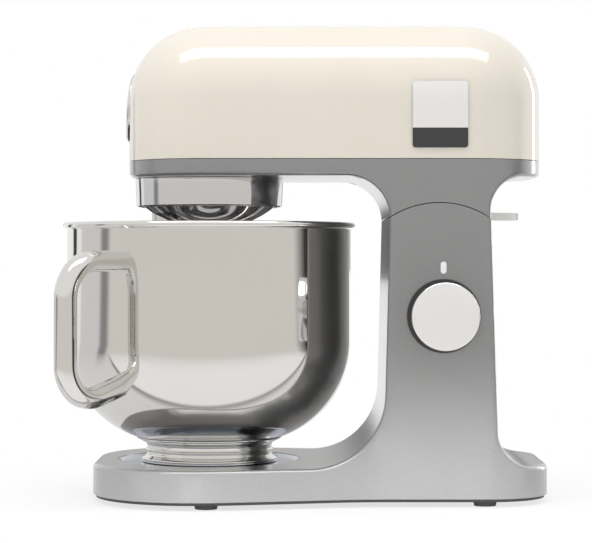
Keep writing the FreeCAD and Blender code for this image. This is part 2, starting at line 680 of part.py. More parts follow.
def head_plan(inset):
    """Corners of the head's plan outline, drawn in by an inset."""
    front, rear = f"{inset} - head_reach_front", f"head_reach_rear - {inset}"
    half, radius = f"body_half - {inset}", f"head_corner - {inset}"
    return [(front, f"-({half})", radius), (rear, f"-({half})", radius), (rear, half, radius),
            (front, half, radius)]


def hood(name, inset, low, high, radius):
    """Rounded block with soft upper edges in the head's plan."""
    body = padded(name, "XY_Plane", head_plan(inset), low, high)
    doc.recompute()
    fillet = body.newObject("PartDesign::Fillet", name + "_fillet")
    top = size(high)
    edges = [i for i, edge in enumerate(body.Shape.Edges, 1) if abs(edge.BoundBox.ZMin - top) < 0.01]
    fillet.Base = (body.Tip if body.Tip != fillet else fillet.BaseFeature, [f"Edge{i}" for i in edges])
    fillet.setExpression("Radius", bound(radius))
    return body


def make_head_cover():
    """Cream shell of the head, open below, with the opening for the outlet on its front end."""
    low = "seam_height + seam_gap"
    shell = hood("cover_outside", "0", low, "head_top", "cover_round")
    room = hood("cover_inside", "cover_wall", f"{low} - 1", "head_top - cover_wall",
                "cover_round - cover_wall")
    seat = outlet_turned("outlet_seat_room", [
        ("0", "-outlet_seat"), ("outlet_radius", "-outlet_seat"), ("outlet_radius", "20"), ("0", "20"),
    ])
    hole = outlet_turned("outlet_hole", [
        ("0", "-20"), ("outlet_inner + 1.5", "-20"), ("outlet_inner + 1.5", "20"), ("0", "20"),
    ])
    keep("head_cover", cut("head_cover", shell, room, seat, hole))


def outlet_turned(name, corners):
    """Body turned about the outlet's axis, with its Z axis out of the front end."""
    axis = Rotation(Vector(0, 1, 0), -90 + size("outlet_lean"))
    return turned(name, corners, ("-head_reach_front", "0", "outlet_height"), axis)


def make_outlet():
    """Chrome ring with the outlet socket behind it, and the cover that pulls out of it."""
    keep("outlet_ring", outlet_turned("outlet_ring", [
        ("0", "-outlet_depth - 2"), ("outlet_inner + 1.5", "-outlet_depth - 2"),
        ("outlet_inner + 1.5", "-outlet_seat"), ("outlet_radius", "-outlet_seat"),
        ("outlet_radius", "outlet_proud - 0.6"), ("outlet_radius - 0.6", "outlet_proud"),
        ("outlet_inner", "outlet_proud"), ("outlet_inner", "-outlet_depth"), ("0", "-outlet_depth"),
    ]))
    edge = "outlet_inner - pin_clear * 3"
    keep("outlet_cover", outlet_turned("outlet_cover", [
        ("0", "-outlet_depth + bowl_gap"), (edge, "-outlet_depth + bowl_gap"), (edge, "0"),
        ("outlet_inner - 1.4", "outlet_proud - 0.4"), ("0", "outlet_proud + 0.6"),
    ]))


def hinge_arm_corners(grow):
    """Leaning side outline of a hinge arm about the tilt axis, widened by a gap."""
    lean = "arm_lean"
    half = f"(arm_width / 2 + {grow})"
    top = "neck_floor + 1 - hinge_z"
    return [
        (f"hinge_x - {half} / cos({lean})", "hinge_z"),
        (f"hinge_x + {half} / cos({lean})", "hinge_z"),
        (f"hinge_x + {half} / cos({lean}) - ({top}) * tan({lean})", f"hinge_z + {top}"),
        (f"hinge_x - {half} / cos({lean}) - ({top}) * tan({lean})", f"hinge_z + {top}"),
    ]


def arm_body(name, sign, grow):
    """Straight part of a hinge arm, or its slot, on one side of the mid-plane."""
    half = f"arm_thick / 2 + {grow}"
    # The plane's normal points to the knob side, so its heights are turned round.
    middle = "-arm_middle" if sign == "" else "arm_middle"
    return padded(name, "XZ_Plane", hinge_arm_corners(grow), f"{middle} - ({half})", f"{middle} + {half}")


def make_hinge_arms():
    """Yoke in the neck with two arms that reach down to the hinge pin, and the bushes in their eyes."""
    pieces, bores = [], []
    for sign, name in (("", "left"), ("-", "right")):
        outer = f"{sign}arm_middle + arm_thick / 2"
        at = ("hinge_x", outer, "hinge_z")
        pieces.append(arm_body(f"arm_{name}", sign, "0"))
        pieces.append(rod(f"arm_eye_{name}", "arm_hub", "arm_thick", at, "-Y"))
        bores.append(rod(f"arm_bore_{name}", "pin_radius + pin_clear + bush_wall", "arm_thick", at, "-Y"))
        sleeve = rod(f"bush_blank_{name}", "pin_radius + pin_clear + bush_wall", "arm_thick", at, "-Y")
        bore = rod(f"bush_bore_{name}", "pin_radius + pin_clear", "arm_thick", at, "-Y")
        keep(f"hinge_bush_{name}", cut(f"hinge_bush_{name}", sleeve, bore))
    plate = block("yoke_plate", ("hinge_x - 37", "hinge_x + 4"),
                  ("-arm_middle - arm_thick", "arm_middle + arm_thick"),
                  ("neck_floor", "neck_floor + yoke_thick"))
    keep("hinge_arms", cut("hinge_arms", fuse("arms_whole", plate, *pieces), *bores))


IDLER_X = "drive_module * (output_teeth + idler_small_teeth) / 2"
MOTOR_X = f"{IDLER_X} + fast_module * (idler_large_teeth + motor_teeth) / 2"
PLANET_X = "-drive_module * (ring_teeth - planet_teeth) / 2"
BEARING = "hub_shaft_radius + pin_clear + bearing_wall"
BUSH = "idler_radius + pin_clear + bush_wall"
FLOOR = "band_bottom + chassis_floor"
BOSS_TOP = "output_low - 0.7"
CHASSIS_SCREWS = [("-20", "66"), ("110", "66"), ("222", "45")]


def make_head_chassis():
    """Silver tray and neck of the head, with the neck's hollow, bearing bosses and lever slot."""
    low = "hinge_z + split_round / 2"
    side = padded("chassis_side", "XZ_Plane", [
        ("-head_reach_front - 1", "seam_height"),
        ("-head_reach_front - 1", "band_bottom"),
        (column_face("front", "band_bottom"), "band_bottom", "neck_front_round"),
        (column_face("front", low), low),
        (column_face("rear", low), low),
        (column_face("rear", "band_bottom"), "band_bottom", "neck_rear_round"),
        ("head_reach_rear + 1", "band_bottom"),
        ("head_reach_rear + 1", "seam_height"),
    ], "-body_half - 1", "body_half + 1")
    plan = padded("chassis_plan", "XY_Plane", head_plan("0"), low, "seam_height")
    form = common("chassis_form", side, plan)
    heights = (size("seam_height"), size(low))
    form = rounded("chassis_rounded", form, "edge_round", lambda edge: is_wall_edge(edge, heights))

    tools = [
        rod("neck_crown", "split_round + split_gap", "2 * body_half + 2",
            ("hinge_x", "body_half + 1", "hinge_z"), "-Y"),
        padded("tray_hollow", "XY_Plane", head_plan("chassis_wall"), FLOOR, "seam_height + 1"),
        block("neck_hollow",
              (f"{column_face('front', 'band_bottom')} - 7", f"{column_face('rear', 'band_bottom')} - 5"),
              ("-body_half + 8", "body_half - 8"), ("neck_floor", f"{FLOOR} + 1")),
        block("lever_pocket", ("lever_pivot_x - lever_eye - 1", "column_rear"),
              ("-lever_half - arm_clear", "lever_half + arm_clear"),
              ("hinge_z + split_round / 2", "lever_pivot_z - 1.4")),
        block("lever_room", ("lever_pivot_x - lever_eye - 1", f"{column_face('rear', 'band_bottom')} - 5"),
              ("-lever_half - arm_clear", "lever_half + arm_clear"),
              ("hinge_z + split_round / 2", "neck_floor + 1")),
        rod("lever_pin_bore", "lever_pin_radius", "2 * lever_half + 20",
            ("lever_pivot_x", "lever_half + 10", "lever_pivot_z"), "-Y"),
        arm_body("neck_slot_left", "", "arm_clear / 2"),
        arm_body("neck_slot_right", "-", "arm_clear / 2"),
    ]
    hollow = cut("chassis_hollow", form, *tools)
    bosses = [
        rod("hub_boss", f"{BEARING} + boss_wall", f"{BOSS_TOP} - ({FLOOR}) + 1", ("0", "0", f"{FLOOR} - 1")),
        rod("idler_boss", f"{BUSH} + boss_wall / 2", f"{BOSS_TOP} - ({FLOOR}) + 1",
            (IDLER_X, "0", f"{FLOOR} - 1")),
    ]
    bores = [
        rod("hub_boss_bore", BEARING, "30", ("0", "0", "band_bottom - 1")),
        rod("idler_boss_bore", BUSH, "30", (IDLER_X, "0", FLOOR)),
    ]
    screws = []
    for i, (x, y) in enumerate((x, sign + y) for x, y in CHASSIS_SCREWS for sign in ("", "-")):
        bores.append(rod(f"chassis_hole_{i}", "screw_radius", "8", (x, y, "band_bottom - 1")))
        bores.append(rod(f"chassis_sink_{i}", "screw_head", "3", (x, y, "band_bottom - 1.8")))
        head = rod(f"chassis_screw_head_{i}", "screw_head", "1", (x, y, "band_bottom + 0.2"))
        shank = rod(f"chassis_screw_shank_{i}", "screw_radius", "5", (x, y, "band_bottom + 1.2"))
        screws.append(fuse(f"chassis_screw_{i}", head, shank))
    keep("head_chassis", cut("head_chassis", fuse("chassis_bossed", hollow, *bosses), *bores))
    keep("chassis_screws", group("chassis_screws", *screws))


def make_lever():
    """Release lever with its rounded paddle, and its pin in the neck."""
    thick = "lever_thick / 2"
    rear = column_face("rear", "lever_height")
    arm = padded("lever_arm", "XZ_Plane", [
        ("lever_pivot_x - 2", "lever_pivot_z - lever_eye + 1"),
        (f"{rear} + 2", f"lever_height - {thick} + 0.6"),
        ("lever_tip", f"lever_height - {thick} + 0.6", f"{thick} * 0.8"),
        ("lever_tip", f"lever_height + {thick} - 0.6", f"{thick} * 0.6"),
        (f"{rear} + 2", f"lever_height + {thick}"),
        ("lever_pivot_x + 2", "lever_pivot_z + lever_eye - 1"),
    ], "-lever_half", "lever_half")
    at = ("lever_pivot_x", "lever_half", "lever_pivot_z")
    eye = rod("lever_eye_round", "lever_eye", "2 * lever_half", at, "-Y")
    bore = rod("lever_bore", "lever_pin_radius + pin_clear", "2 * lever_half", at, "-Y")
    plan = padded("lever_plan", "XY_Plane", [
        ("lever_pivot_x - 20", "-lever_half"), ("lever_tip", "-lever_half", "8"),
        ("lever_tip", "lever_half", "8"), ("lever_pivot_x - 20", "lever_half"),
    ], "lever_height - 20", "lever_pivot_z + 20")
    keep("release_lever",
         cut("release_lever", common("lever_form", fuse("lever_whole", arm, eye), plan), bore))
    keep("lever_pin", rod("lever_pin", "lever_pin_radius", "2 * lever_half + 20",
                          ("lever_pivot_x", "lever_half + 10", "lever_pivot_z"), "-Y"))


def make_hub_collar():
    """Chrome collar fixed under the head."""
    keep("hub_collar", turned("hub_collar", [
        ("collar_inner", "collar_bottom + 1"), ("collar_inner + 1", "collar_bottom"),
        ("collar_radius - collar_draft", "collar_bottom", "1.2"), ("collar_radius", "band_bottom"),
        ("collar_inner", "band_bottom"),
    ]))


# Drive


def tooth_profile(teeth, module, tip, root, gap):
    """Half tooth as (radius, half angle) points: an involute flank, thinned by half the backlash."""
    pitch = module * teeth / 2
    base = pitch * math.cos(math.radians(20))
    involute = math.tan(math.radians(20)) - math.radians(20)
    half = (math.pi * module / 2 - gap) / 2 / pitch
    flank = []
    for step in range(5):
        radius = max(base, root) + (tip - max(base, root)) * step / 4
        pressure = math.acos(min(1, base / radius))
        flank.append((radius, half + involute - (math.tan(pressure) - pressure)))
    return [(root, flank[0][1])] + flank if root < base else flank


def toothed_face(teeth, flank, turn):
    """Face of a toothed wheel with one tooth at the given angle."""
    points = []
    for tooth in range(teeth):
        middle = math.radians(turn) + 2 * math.pi * tooth / teeth
        sides = [(radius, middle - half) for radius, half in flank]
        sides += [(radius, middle + half) for radius, half in reversed(flank)]
        points += [Vector(radius * math.cos(angle), radius * math.sin(angle), 0) for radius, angle in sides]
    return Part.Face(Part.makePolygon(points + points[:1]))


def gear(label, teeth, module, low, thick, x, hexagon_radius, turn):
    """Spur gear on a hexagonal shaft."""
    count, tooth_size = round(size(teeth)), size(module)
    pitch = tooth_size * count / 2
    flank = tooth_profile(count, tooth_size, pitch + 0.8 * tooth_size, pitch - 1.15 * tooth_size,
                          size("tooth_play"))
    solid = toothed_face(count, flank, turn).extrude(Vector(0, 0, size(thick)))
    bore = Part.Face(Part.makePolygon([
        Vector(size(hexagon_radius) * math.cos(i * math.pi / 3),
               size(hexagon_radius) * math.sin(i * math.pi / 3), 0)
        for i in range(7)
    ])).extrude(Vector(0, 0, size(thick)))
    wheel = doc.addObject("Part::Feature", label)
    wheel.Shape = solid.cut(bore)
    place(wheel, x, "0", low)
    return keep(label, wheel)


def make_ring_gear():
    """Fixed ring with inner teeth under the chassis, inside the collar."""
    count, tooth_size = round(size("ring_teeth")), size("drive_module")
    pitch = tooth_size * count / 2
    space = tooth_profile(count, tooth_size, pitch + 1.15 * tooth_size, pitch - 0.8 * tooth_size,
                          -size("tooth_play"))
    outer = pitch + 1.15 * tooth_size + size("ring_wall")
    rim = Part.Face(Part.makePolygon([
        Vector(outer * math.cos(2 * math.pi * i / count), outer * math.sin(2 * math.pi * i / count), 0)
        for i in range(count + 1)
    ]))
    lift = Vector(0, 0, size("ring_thick"))
    wheel = doc.addObject("Part::Feature", "ring_gear")
    wheel.Shape = rim.extrude(lift).cut(toothed_face(count, space, 180).extrude(lift))
    place(wheel, "0", "0", "band_bottom - ring_thick")
    keep("ring_gear", wheel)


def make_drive():
    """Planet hub, tool spindle, hub shaft, idler and their gears and bearings."""
    dome = doc.addObject("Part::Sphere", "hub_sphere")
    dome.setExpression("Radius", bound("hub_dome"))
    place(dome, "0", "0", "hub_bottom + hub_dome")
    blank = common("hub_blank",
                   rod("hub_drum", "hub_radius", "hub_top - hub_bottom", ("0", "0", "hub_bottom")), dome)
    hollow = cut("hub_dish", blank,
                 rod("hub_dish_room", "hub_radius - hub_rim", "hub_top", ("0", "0", "hub_web")))
    bosses = [
        rod("hub_centre_boss", "hub_shaft_radius + boss_wall", "hub_top - hub_web + 1",
            ("0", "0", "hub_web - 1")),
        rod("hub_spindle_boss", "spindle_radius + boss_wall", "hub_top - hub_web + 1",
            (PLANET_X, "0", "hub_web - 1")),
    ]
    keep("planet_hub", cut(
        "planet_hub", fuse("hub_bossed", hollow, *bosses),
        rod("hub_shaft_bore", "hub_shaft_radius", "40", ("0", "0", "hub_bottom + 6")),
        rod("spindle_bore", "spindle_radius + pin_clear", "40", (PLANET_X, "0", "hub_bottom")),
        rod("socket_room", "socket_radius + 0.5", "socket_top + 0.5 - hub_bottom + 5",
            (PLANET_X, "0", "hub_bottom - 5")),
    ))

    planet_low = "hub_top + 3"
    spindle = fuse(
        "spindle_whole",
        rod("socket_sleeve", "socket_radius", "socket_top - socket_bottom", (PLANET_X, "0", "socket_bottom")),
        rod("spindle_shaft", "spindle_radius", f"{planet_low} - socket_top + 1",
            (PLANET_X, "0", "socket_top - 1")),
        hexagon("spindle_hexagon", "spindle_radius", "planet_thick + 0.5", (PLANET_X, "0", planet_low)),
    )
    keep("tool_spindle", cut("tool_spindle", spindle, rod(
        "socket_hole", "socket_bore", "socket_depth", (PLANET_X, "0", "socket_bottom"))))
    gear("planet_pinion", "planet_teeth", "drive_module", planet_low, "planet_thick", PLANET_X,
         "spindle_radius", 180)

    keep("hub_shaft", fuse(
        "hub_shaft",
        rod("hub_shaft_low", "hub_shaft_radius", "output_low - hub_bottom - 6", ("0", "0", "hub_bottom + 6")),
        hexagon("hub_shaft_hexagon", "hub_shaft_radius", "output_thick", ("0", "0", "output_low")),
        rod("hub_shaft_high", "hub_shaft_radius - 1",
            "gear_plate_low + gear_plate_thick - output_low - output_thick",
            ("0", "0", "output_low + output_thick")),
    ))
    gear("output_gear", "output_teeth", "drive_module", "output_low", "output_thick", "0",
         "hub_shaft_radius", 0)

    keep("idler_shaft", fuse(
        "idler_shaft",
        rod("idler_low", "idler_radius", f"output_low - ({FLOOR}) - bowl_gap",
            (IDLER_X, "0", f"{FLOOR} + bowl_gap")),
        hexagon("idler_hexagon", "idler_hex", "fast_low + fast_thick - output_low",
                (IDLER_X, "0", "output_low")),
        rod("idler_high", "idler_radius", "gear_plate_low + gear_plate_thick - fast_low - fast_thick",
            (IDLER_X, "0", "fast_low + fast_thick")),
    ))
    gear("idler_pinion", "idler_small_teeth", "drive_module", "output_low", "output_thick", IDLER_X,
         "idler_hex",
         180 + 180 / round(size("idler_small_teeth")))
    gear("idler_gear", "idler_large_teeth", "fast_module", "fast_low", "fast_thick", IDLER_X, "idler_hex", 0)
    gear("motor_pinion", "motor_teeth", "fast_module", "fast_low", "fast_thick", MOTOR_X,
         "motor_shaft_radius",
         180 + 180 / round(size("motor_teeth")))

    plate_high = "gear_plate_low + gear_plate_thick"
    upper = "hub_shaft_radius - 1 + pin_clear"
    keep("hub_bearings", group(
        "hub_bearings",
        ring("hub_bearing_low", BEARING, "hub_shaft_radius + pin_clear", "band_bottom + 0.2", BOSS_TOP),
        ring("hub_bearing_high", f"{upper} + bush_wall", upper, "gear_plate_low", plate_high),
    ))
    keep("idler_bushes", group(
        "idler_bushes",
        ring("idler_bush_low", BUSH, "idler_radius + pin_clear", FLOOR, BOSS_TOP, IDLER_X),
        ring("idler_bush_high", BUSH, "idler_radius + pin_clear", "gear_plate_low", plate_high, IDLER_X),
    ))


PILLARS = [("-22", "52"), ("120", "48")]


def make_gear_plate():
    """Plate above the gears, on four pillars, that carries the upper bearings and the motor."""
    plate = padded("gear_plate_blank", "XY_Plane", [
        ("-36", "-60", "24"), (f"{MOTOR_X} + motor_radius + 4", "-56", "12"),
        (f"{MOTOR_X} + motor_radius + 4", "56", "12"), ("-36", "60", "24"),
    ], "gear_plate_low", "gear_plate_low + gear_plate_thick")
    pillars = [
        rod(f"pillar_{x}_{sign}", "pillar_radius", f"gear_plate_low - ({FLOOR})", (x, sign + y, FLOOR))
        for x, y in PILLARS for sign in ("", "-")
    ]
    bores = [
        rod("plate_hub_bore", "hub_shaft_radius - 1 + pin_clear + bush_wall", "10",
            ("0", "0", "gear_plate_low - 1")),
        rod("plate_idler_bore", BUSH, "10", (IDLER_X, "0", "gear_plate_low - 1")),
        rod("plate_motor_bore", "motor_shaft_radius + 2", "10", (MOTOR_X, "0", "gear_plate_low - 1")),
    ]
    keep("gear_plate", cut("gear_plate", fuse("gear_plate_whole", plate, *pillars), *bores))


def make_motor():
    """Upright motor on the gear plate: core, coils, brackets, brushes, bearings and the rotor."""
    base = "gear_plate_low + gear_plate_thick"
    wall = "motor_radius - bracket_wall"
    bearing = "motor_shaft_radius + pin_clear + boss_wall"
    upper = "motor_top - bracket_wall"
    keep("motor_core", ring("motor_core", "motor_radius", "motor_bore", "core_low", "core_high", MOTOR_X))
    keep("field_coils", group(
        "field_coils",
        ring("field_coil_low", "motor_radius - 5", "motor_bore + 1.5", "core_low - 7", "core_low", MOTOR_X),
        ring("field_coil_high", "motor_radius - 5", "motor_bore + 1.5", "core_high", "core_high + 6",
             MOTOR_X),
    ))
    keep("motor_bracket_lower", turned("motor_bracket_lower", [
        (bearing, base), ("motor_radius", base), ("motor_radius", "core_low"), (wall, "core_low"),
        (wall, f"{base} + bracket_wall"), (bearing, f"{base} + bracket_wall"),
    ], (MOTOR_X, "0", "0")))
    keep("motor_bracket_upper", turned("motor_bracket_upper", [
        (bearing, upper), (wall, upper), (wall, "core_high"), ("motor_radius", "core_high"),
        ("motor_radius", "motor_top", "bracket_wall"), (bearing, "motor_top"),
    ], (MOTOR_X, "0", "0")))
    keep("motor_bearings", group(
        "motor_bearings",
        ring("motor_bearing_low", bearing, "motor_shaft_radius + pin_clear", base,
             f"{base} + bracket_wall", MOTOR_X),
        ring("motor_bearing_high", bearing, "motor_shaft_radius + pin_clear", upper, "motor_top", MOTOR_X),
    ))
    reach = "commutator_radius + bowl_gap"
    keep("brush_holders", group("brush_holders", *[
        block(f"brush_{side}", (f"{MOTOR_X} - 4", f"{MOTOR_X} + 4"), y, ("core_high + 8", upper))
        for side, y in (("left", (reach, "motor_radius - 8")), ("right", ("8 - motor_radius", f"-({reach})")))
    ]))
    keep("motor_shaft", fuse(
        "motor_shaft",
        hexagon("motor_shaft_hexagon", "motor_shaft_radius", "fast_thick", (MOTOR_X, "0", "fast_low")),
        rod("motor_shaft_round", "motor_shaft_radius", "motor_top - fast_low - fast_thick",
            (MOTOR_X, "0", "fast_low + fast_thick")),
    ))
    keep("armature",
         ring("armature", "motor_bore - armature_gap", "motor_shaft_radius", "core_low", "core_high",
              MOTOR_X))
    keep("commutator",
         ring("commutator", "commutator_radius", "motor_shaft_radius", "core_high + 6", "core_high + 13",
              MOTOR_X))
    disc = ring("fan_disc", "motor_bore - 2", "motor_shaft_radius", "core_low - 9", "core_low - 7.5", MOTOR_X)
    blades = []
    for i in range(8):
        blade = block(f"fan_blade_{i}", ("9", "motor_bore - 2.2"), ("-0.6", "0.6"), ("0", "5"))
        blade.Placement = Placement(Vector(), Rotation(Vector(0, 0, 1), 45 * i))
        turn = math.radians(45 * i)
        place(blade, f"{MOTOR_X} + 9 * {math.cos(turn):.6f}", f"9 * {math.sin(turn):.6f}", "core_low - 8")
        blades.append(blade)
    keep("motor_fan", fuse("motor_fan", disc, *blades))


def make_speed_knob():
    """Speed knob with a slightly crowned face and the shaft that turns the speed control."""
    back = "knob_ring_thick + bowl_gap * 2"
    face = "knob_face - body_half"
    keep("speed_knob", turned("speed_knob", [
        ("0", "-casting_wall - 6"), ("knob_shaft", "-casting_wall - 6"), ("knob_shaft", back),
        ("knob_radius", back), ("knob_radius", face, "1.6"), ("0", face),
    ], ("knob_x", "-body_half", "knob_z"), FACING["-Y"]))


make_stand_casting()
make_base_plate()
make_bowl_seat()
make_stand_fittings()
make_bowl()
make_head_cover()
make_outlet()
make_head_chassis()
make_hinge_arms()
make_lever()
make_hub_collar()
make_ring_gear()
make_drive()
make_gear_plate()
make_motor()
make_speed_knob()

doc.recompute()
failed = [item.Label for item in doc.Objects if {"Invalid", "Error"} & set(item.State)]
failed += [part.Label for part in parts if part.Shape.isNull() or not part.Shape.isValid()]
if failed:
    raise RuntimeError("not built: " + ", ".join(failed))

os.makedirs("parts", exist_ok=True)
for part in parts:
    part.Shape.exportStep(f"parts/{part.Label}.step")
print(len(parts), "sub-parts")
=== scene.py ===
import math

import bpy
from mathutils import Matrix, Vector


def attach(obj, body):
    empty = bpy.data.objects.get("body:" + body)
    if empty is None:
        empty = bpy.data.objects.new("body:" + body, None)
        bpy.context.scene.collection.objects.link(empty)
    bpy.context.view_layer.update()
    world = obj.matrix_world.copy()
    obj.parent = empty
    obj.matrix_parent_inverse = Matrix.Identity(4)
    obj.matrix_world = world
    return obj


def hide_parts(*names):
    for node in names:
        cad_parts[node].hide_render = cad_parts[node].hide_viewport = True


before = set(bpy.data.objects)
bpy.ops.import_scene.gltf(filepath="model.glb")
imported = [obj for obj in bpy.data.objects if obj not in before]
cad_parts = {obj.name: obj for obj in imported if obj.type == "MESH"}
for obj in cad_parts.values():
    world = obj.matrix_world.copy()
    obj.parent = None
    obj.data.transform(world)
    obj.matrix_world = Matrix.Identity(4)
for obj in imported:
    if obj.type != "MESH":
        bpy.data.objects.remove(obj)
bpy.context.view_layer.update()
bpy.ops.object.select_all(action="DESELECT")


# Rubber feet, cord gland, base plate and screws.
# Four moulded feet push into a painted steel plate that closes the hollow base from below; six
# screws hold the plate to posts of the casting. The gland is moulded of the same rubber.
def add_node(nodes, kind, sockets=None, **settings):
    """Adds a shader node with its settings, and with fixed values on the sockets that are named."""
    node = nodes.new("ShaderNode" + kind)
    for setting, value in settings.items():
        setattr(node, setting, value)
    for socket, value in (sockets or {}).items():
        node.inputs[socket].default_value = value
    return node


def finish(name, colour, second, metal, rough, grain, depth=0.0, coat=0.0, coat_rough=0.04):
    """Surface with colour and gloss that drift a little over it, and a fine relief.

    rough is the lowest and highest roughness, grain the grains in a metre, depth the relief's."""
    drift_scale, drift_detail, grain_detail, relief_strength = 14.0, 3.0, 2.0, 0.5
    material = bpy.data.materials.new(name)
    material.use_nodes = True
    nodes, links = material.node_tree.nodes, material.node_tree.links
    shader = nodes["Principled BSDF"]
    shader.inputs["Metallic"].default_value = metal
    shader.inputs["Coat Weight"].default_value = coat
    shader.inputs["Coat Roughness"].default_value = coat_rough
    place = add_node(nodes, "TexCoord")
    drift = add_node(nodes, "TexNoise", {"Scale": drift_scale, "Detail": drift_detail})
    links.new(place.outputs["Object"], drift.inputs["Vector"])
    tint = add_node(nodes, "Mix", {"A": (*colour, 1), "B": (*second, 1)}, data_type="RGBA")
    links.new(drift.outputs["Fac"], tint.inputs["Factor"])
    links.new(tint.outputs["Result"], shader.inputs["Base Color"])
    speck = add_node(nodes, "TexNoise", {"Scale": grain, "Detail": grain_detail})
    links.new(place.outputs["Object"], speck.inputs["Vector"])
    gloss = add_node(nodes, "MapRange", {"To Min": rough[0], "To Max": rough[1]})
    links.new(speck.outputs["Fac"], gloss.inputs["Value"])
    links.new(gloss.outputs["Result"], shader.inputs["Roughness"])
    if depth:
        relief = add_node(nodes, "Bump", {"Distance": depth, "Strength": relief_strength})
        links.new(speck.outputs["Fac"], relief.inputs["Height"])
        links.new(relief.outputs["Normal"], shader.inputs["Normal"])
    return material


def dress(material, *names):
    """Puts a finish on CAD nodes that are shown as they are."""
    for name in names:
        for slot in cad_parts[name].material_slots:
            slot.material = material


rubber = finish(
    "rubber", (0.018, 0.018, 0.019), (0.030, 0.030, 0.031),
    metal=0.0, rough=(0.55, 0.8), grain=900, depth=0.0002)
dress(rubber, "foot_front_left", "foot_front_right", "foot_rear_left", "foot_rear_right",
      "cord_gland")
plate_paint = finish(
    "plate_paint", (0.020, 0.020, 0.021), (0.032, 0.032, 0.034),
    metal=0.0, rough=(0.4, 0.6), grain=1500, depth=0.0001)
dress(plate_paint, "base_plate")
screw_steel = finish(
    "screw_steel", (0.42, 0.42, 0.43), (0.50, 0.50, 0.50),
    metal=1.0, rough=(0.25, 0.4), grain=800)
dress(screw_steel, "base_screws", "seat_screws", "chassis_screws")

# Stand casting and head chassis.
# Base and column are one hollow aluminium casting with a satin metallic paint. The chassis of the
# head, which hinges on the column, is cast and painted in the same way.
silver = finish(
    "silver_paint", (0.24, 0.24, 0.243), (0.27, 0.27, 0.273),
    metal=0.45, rough=(0.24, 0.34), grain=2600, depth=0.00003, coat=1.0, coat_rough=0.16)
dress(silver, "stand_casting", "head_chassis")

# Bowl seat.
# Polished steel disc let into the base top and held by three screws, with the boss that the bowl
# locks on.
seat_steel = finish(
    "seat_steel", (0.45, 0.49, 0.56), (0.52, 0.55, 0.60),
    metal=1.0, rough=(0.10, 0.2), grain=300)
dress(seat_steel, "bowl_seat")

# Bowl.
# Spun from stainless sheet with a rolled rim, polished like a mirror outside and a little duller
# inside. It stands on the foot welded under it.
merge_gap = 1e-6


def soften(corners, steps):
    """Points of an outline of (radius, height) corners; a third number rounds a corner in steps."""
    points = []
    for i, corner in enumerate(corners):
        here = Vector(corner[:2])
        if len(corner) < 3:
            points.append(here)
            continue
        rounding = corner[2]
        before = (Vector(corners[i - 1][:2]) - here).normalized()
        after = (Vector(corners[(i + 1) % len(corners)][:2]) - here).normalized()
        half = before.angle(after) / 2
        reach = rounding / math.tan(half)
        centre = here + (before + after).normalized() * rounding / math.sin(half)
        first, last = here + before * reach - centre, here + after * reach - centre
        for step in range(steps + 1):
            points.append(centre + first.slerp(last, step / steps).normalized() * rounding)
    return points


def keep_shape(angle=32):
    """Applies the selected piece's place to its mesh and smooths all but its sharp edges."""
    bpy.ops.object.transform_apply(location=True, rotation=True, scale=True)
    bpy.ops.object.shade_smooth_by_angle(angle=math.radians(angle))
    bpy.ops.object.select_all(action="DESELECT")


def lathe(name, points, closed=True, turns=128, foot=(0, 0, 0), facing=(0, 0, 0)):
    """Turns an outline of (radius, height) points about an upright axis, then places it."""
    bpy.ops.mesh.primitive_plane_add()
    piece = bpy.context.object
    piece.name = piece.data.name = name
    bpy.ops.object.mode_set(mode="EDIT")
    bpy.ops.mesh.select_mode(type="VERT")
    bpy.ops.mesh.select_all(action="SELECT")
    bpy.ops.mesh.merge(type="CENTER")
    bpy.ops.transform.translate(value=(points[0].x, 0, points[0].y))
    path = points[1:] + points[:1] if closed else points[1:]
    for before, after in zip(points, path):
        step = after - before
        bpy.ops.mesh.extrude_region_move(TRANSFORM_OT_translate={"value": (step.x, 0, step.y)})
    bpy.ops.mesh.select_all(action="SELECT")
    bpy.ops.mesh.spin(steps=turns, angle=2 * math.pi, center=(0, 0, 0), axis=(0, 0, 1))
    bpy.ops.mesh.select_all(action="SELECT")
    bpy.ops.mesh.remove_doubles(threshold=merge_gap)
    bpy.ops.mesh.normals_make_consistent(inside=False)
    bpy.ops.object.mode_set(mode="OBJECT")
    piece.rotation_euler = facing
    piece.location = foot
    keep_shape()
    return piece


bowl_radius, bowl_low, bowl_bend, sheet = 0.1056, 0.041, 0.075, 0.0012
rim_top, rim_tall, rim_out = 0.2045, 0.0048, 0.00345
rim_root, rim_roll, rim_inner = 0.0004, 0.00235, 0.0020
bowl = lathe("bowl_polished", soften([
    (0, bowl_low), (bowl_radius, bowl_low, bowl_bend),
    (bowl_radius, rim_top - rim_tall, rim_root),
    (bowl_radius + rim_out, rim_top - rim_tall, rim_roll),
    (bowl_radius + rim_out, rim_top, rim_roll),
    (bowl_radius - sheet, rim_top, rim_inner),
    (bowl_radius - sheet, bowl_low + sheet, bowl_bend - sheet),
    (0, bowl_low + sheet),
], steps=24), closed=False, turns=160)
mirror_steel = finish(
    "mirror_steel", (0.70, 0.69, 0.67), (0.74, 0.73, 0.71),
    metal=1.0, rough=(0.03, 0.07), grain=220)
inner_steel = finish(
    "inner_steel", (0.66, 0.65, 0.64), (0.71, 0.70, 0.69),
    metal=0.86, rough=(0.05, 0.11), grain=420)
bowl.data.materials.append(mirror_steel)
bowl.data.materials.append(inner_steel)
inner_top, floor_facing = rim_top - 0.003, 0.5
for panel in bowl.data.polygons:
    outward = panel.normal.x * panel.center.x + panel.normal.y * panel.center.y
    if panel.center.z < inner_top and (outward < 0 or panel.normal.z > floor_facing):
        panel.material_index = 1
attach(bowl, "bowl")
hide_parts("bowl")

